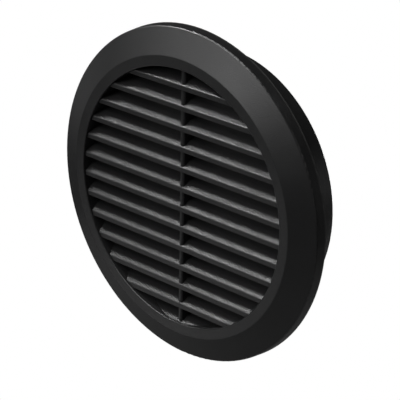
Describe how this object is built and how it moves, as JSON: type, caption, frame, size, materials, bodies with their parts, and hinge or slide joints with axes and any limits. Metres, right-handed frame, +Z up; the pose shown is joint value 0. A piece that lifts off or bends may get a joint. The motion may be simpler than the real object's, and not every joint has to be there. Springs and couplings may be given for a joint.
{
  "type": "round vent cover",
  "caption": "Round plastic vent cover with a bevelled flange, fixed sloping slats tied by an upright mullion, and a plain spigot that pushes into a round duct.",
  "frame": {"origin": "on the spigot's axis, in the wall plane where the back of the flange's rim rests", "axes": "+Z up, +Y along the spigot into the wall, so the front with its slats faces -Y"},
  "size_m": [0.123, 0.0262, 0.123],
  "materials": {
    "black_plastic": "satin black moulded plastic with a fine grain"
  },
  "bodies": {
    "root": {"vent_cover": "black_plastic"}
  },
  "joints": []
}
